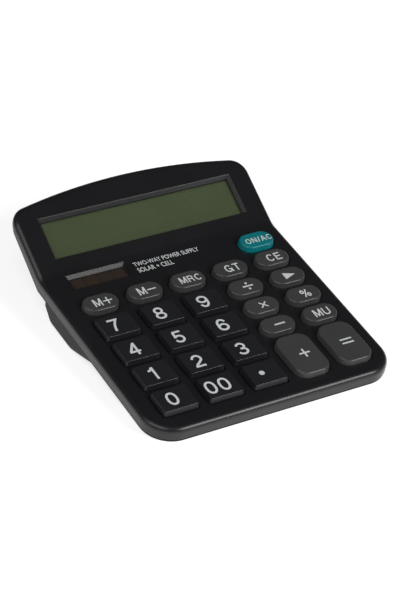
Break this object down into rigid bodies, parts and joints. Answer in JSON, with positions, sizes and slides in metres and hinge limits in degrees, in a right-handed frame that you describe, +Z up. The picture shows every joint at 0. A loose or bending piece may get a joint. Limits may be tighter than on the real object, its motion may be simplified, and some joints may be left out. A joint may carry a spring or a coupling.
{
  "type": "desk calculator",
  "caption": "Desk calculator with a gently sloping keypad, a steeper display head with an arched rear edge, a solar cell, and a belly underneath that holds one AAA cell.",
  "frame": {"origin": "on the desk, under the middle of the calculator's bounding box", "axes": "+X to the user's right, +Y from the front edge towards the display, +Z up"},
  "size_m": [0.118, 0.138, 0.0373],
  "materials": {
    "upper_shell": "satin moulded ABS, fine grain",
    "lower_shell": "fine matt moulded ABS",
    "digit_key": "smooth satin black",
    "function_key": "satin warm dark grey",
    "teal_key": "smooth satin teal",
    "window": "clear moulded acrylic",
    "lcd": "satin reflective liquid crystal panel",
    "foam": "soft closed-cell foam",
    "ribbon": "translucent film with printed tracks",
    "solar": "amorphous silicon on glass",
    "board": "phenolic paper board",
    "silicone": "silicone sheet",
    "carbon": "carbon filled rubber",
    "epoxy": "glossy black epoxy",
    "capacitor": "sleeved can",
    "resistor": "lacquered",
    "cell": "sleeved steel can",
    "spring_steel": "nickel plated",
    "lead_black": "PVC sleeve",
    "lead_red": "PVC sleeve",
    "screw": "zinc plated",
    "feet": "matt rubber"
  },
  "bodies": {
    "case": {"aaa_cell": "cell", "battery_lead_black": "lead_black", "battery_lead_red": "lead_red", "battery_spring": "spring_steel", "board_screws": "screw", "carbon_pads": "carbon", "case_screws": "screw", "chip_blob": "epoxy", "display_window": "window", "lcd_cushion": "foam", "lcd_holder": "lower_shell", "lcd_holder_screws": "screw", "lcd_panel": "lcd", "lcd_ribbon": "ribbon", "lower_housing": "lower_shell", "main_board": "board", "negative_plate": "spring_steel", "positive_plate": "spring_steel", "resistors": "resistor", "rubber_feet": "feet", "rubber_keypad": "silicone", "smoothing_capacitor": "capacitor", "solar_cell": "solar", "solar_lead_black": "lead_black", "solar_lead_red": "lead_red", "upper_housing": "upper_shell"},
    "key_0": {"key_0": "digit_key"},
    "key_00": {"key_00": "digit_key"},
    "key_1": {"key_1": "digit_key"},
    "key_2": {"key_2": "digit_key"},
    "key_3": {"key_3": "digit_key"},
    "key_4": {"key_4": "digit_key"},
    "key_5": {"key_5": "digit_key"},
    "key_6": {"key_6": "digit_key"},
    "key_7": {"key_7": "digit_key"},
    "key_8": {"key_8": "digit_key"},
    "key_9": {"key_9": "digit_key"},
    "key_backspace": {"key_backspace": "function_key"},
    "key_ce": {"key_ce": "function_key"},
    "key_divide": {"key_divide": "function_key"},
    "key_equals": {"key_equals": "function_key"},
    "key_gt": {"key_gt": "function_key"},
    "key_m_minus": {"key_m_minus": "function_key"},
    "key_m_plus": {"key_m_plus": "function_key"},
    "key_minus": {"key_minus": "function_key"},
    "key_mrc": {"key_mrc": "function_key"},
    "key_mu": {"key_mu": "function_key"},
    "key_multiply": {"key_multiply": "function_key"},
    "key_on_ac": {"key_on_ac": "teal_key"},
    "key_percent": {"key_percent": "function_key"},
    "key_plus": {"key_plus": "function_key"},
    "key_point": {"key_point": "digit_key"},
    "battery_door": {"battery_door": "lower_shell"}
  },
  "joints": [
    {"name": "key_0_press", "type": "slide", "parent": "case", "child": "key_0", "axis": [0, 0.108, -0.9942], "range_m": [0, 0.001], "stiffness_N_per_m": 400, "springref_m": -0.001},
    {"name": "key_00_press", "type": "slide", "parent": "case", "child": "key_00", "axis": [0, 0.108, -0.9942], "range_m": [0, 0.001], "stiffness_N_per_m": 400, "springref_m": -0.001},
    {"name": "key_1_press", "type": "slide", "parent": "case", "child": "key_1", "axis": [0, 0.108, -0.9942], "range_m": [0, 0.001], "stiffness_N_per_m": 400, "springref_m": -0.001},
    {"name": "key_2_press", "type": "slide", "parent": "case", "child": "key_2", "axis": [0, 0.108, -0.9942], "range_m": [0, 0.001], "stiffness_N_per_m": 400, "springref_m": -0.001},
    {"name": "key_3_press", "type": "slide", "parent": "case", "child": "key_3", "axis": [0, 0.108, -0.9942], "range_m": [0, 0.001], "stiffness_N_per_m": 400, "springref_m": -0.001},
    {"name": "key_4_press", "type": "slide", "parent": "case", "child": "key_4", "axis": [0, 0.108, -0.9942], "range_m": [0, 0.001], "stiffness_N_per_m": 400, "springref_m": -0.001},
    {"name": "key_5_press", "type": "slide", "parent": "case", "child": "key_5", "axis": [0, 0.108, -0.9942], "range_m": [0, 0.001], "stiffness_N_per_m": 400, "springref_m": -0.001},
    {"name": "key_6_press", "type": "slide", "parent": "case", "child": "key_6", "axis": [0, 0.108, -0.9942], "range_m": [0, 0.001], "stiffness_N_per_m": 400, "springref_m": -0.001},
    {"name": "key_7_press", "type": "slide", "parent": "case", "child": "key_7", "axis": [0, 0.108, -0.9942], "range_m": [0, 0.001], "stiffness_N_per_m": 400, "springref_m": -0.001},
    {"name": "key_8_press", "type": "slide", "parent": "case", "child": "key_8", "axis": [0, 0.108, -0.9942], "range_m": [0, 0.001], "stiffness_N_per_m": 400, "springref_m": -0.001},
    {"name": "key_9_press", "type": "slide", "parent": "case", "child": "key_9", "axis": [0, 0.108, -0.9942], "range_m": [0, 0.001], "stiffness_N_per_m": 400, "springref_m": -0.001},
    {"name": "key_backspace_press", "type": "slide", "parent": "case", "child": "key_backspace", "axis": [0, 0.108, -0.9942], "range_m": [0, 0.001], "stiffness_N_per_m": 400, "springref_m": -0.001},
    {"name": "key_ce_press", "type": "slide", "parent": "case", "child": "key_ce", "axis": [0, 0.108, -0.9942], "range_m": [0, 0.001], "stiffness_N_per_m": 400, "springref_m": -0.001},
    {"name": "key_divide_press", "type": "slide", "parent": "case", "child": "key_divide", "axis": [0, 0.108, -0.9942], "range_m": [0, 0.001], "stiffness_N_per_m": 400, "springref_m": -0.001},
    {"name": "key_equals_press", "type": "slide", "parent": "case", "child": "key_equals", "axis": [0, 0.108, -0.9942], "range_m": [0, 0.001], "stiffness_N_per_m": 400, "springref_m": -0.001},
    {"name": "key_gt_press", "type": "slide", "parent": "case", "child": "key_gt", "axis": [0, 0.108, -0.9942], "range_m": [0, 0.001], "stiffness_N_per_m": 400, "springref_m": -0.001},
    {"name": "key_m_minus_press", "type": "slide", "parent": "case", "child": "key_m_minus", "axis": [0, 0.108, -0.9942], "range_m": [0, 0.001], "stiffness_N_per_m": 400, "springref_m": -0.001},
    {"name": "key_m_plus_press", "type": "slide", "parent": "case", "child": "key_m_plus", "axis": [0, 0.108, -0.9942], "range_m": [0, 0.001], "stiffness_N_per_m": 400, "springref_m": -0.001},
    {"name": "key_minus_press", "type": "slide", "parent": "case", "child": "key_minus", "axis": [0, 0.108, -0.9942], "range_m": [0, 0.001], "stiffness_N_per_m": 400, "springref_m": -0.001},
    {"name": "key_mrc_press", "type": "slide", "parent": "case", "child": "key_mrc", "axis": [0, 0.108, -0.9942], "range_m": [0, 0.001], "stiffness_N_per_m": 400, "springref_m": -0.001},
    {"name": "key_mu_press", "type": "slide", "parent": "case", "child": "key_mu", "axis": [0, 0.108, -0.9942], "range_m": [0, 0.001], "stiffness_N_per_m": 400, "springref_m": -0.001},
    {"name": "key_multiply_press", "type": "slide", "parent": "case", "child": "key_multiply", "axis": [0, 0.108, -0.9942], "range_m": [0, 0.001], "stiffness_N_per_m": 400, "springref_m": -0.001},
    {"name": "key_on_ac_press", "type": "slide", "parent": "case", "child": "key_on_ac", "axis": [0, 0.108, -0.9942], "range_m": [0, 0.001], "stiffness_N_per_m": 400, "springref_m": -0.001},
    {"name": "key_percent_press", "type": "slide", "parent": "case", "child": "key_percent", "axis": [0, 0.108, -0.9942], "range_m": [0, 0.001], "stiffness_N_per_m": 400, "springref_m": -0.001},
    {"name": "key_plus_press", "type": "slide", "parent": "case", "child": "key_plus", "axis": [0, 0.108, -0.9942], "range_m": [0, 0.001], "stiffness_N_per_m": 400, "springref_m": -0.001},
    {"name": "key_point_press", "type": "slide", "parent": "case", "child": "key_point", "axis": [0, 0.108, -0.9942], "range_m": [0, 0.001], "stiffness_N_per_m": 400, "springref_m": -0.001},
    {"name": "battery_door_lift", "type": "slide", "parent": "case", "child": "battery_door", "axis": [0, 0.108, -0.9942], "range_m": [0, 0.02]}
  ]
}
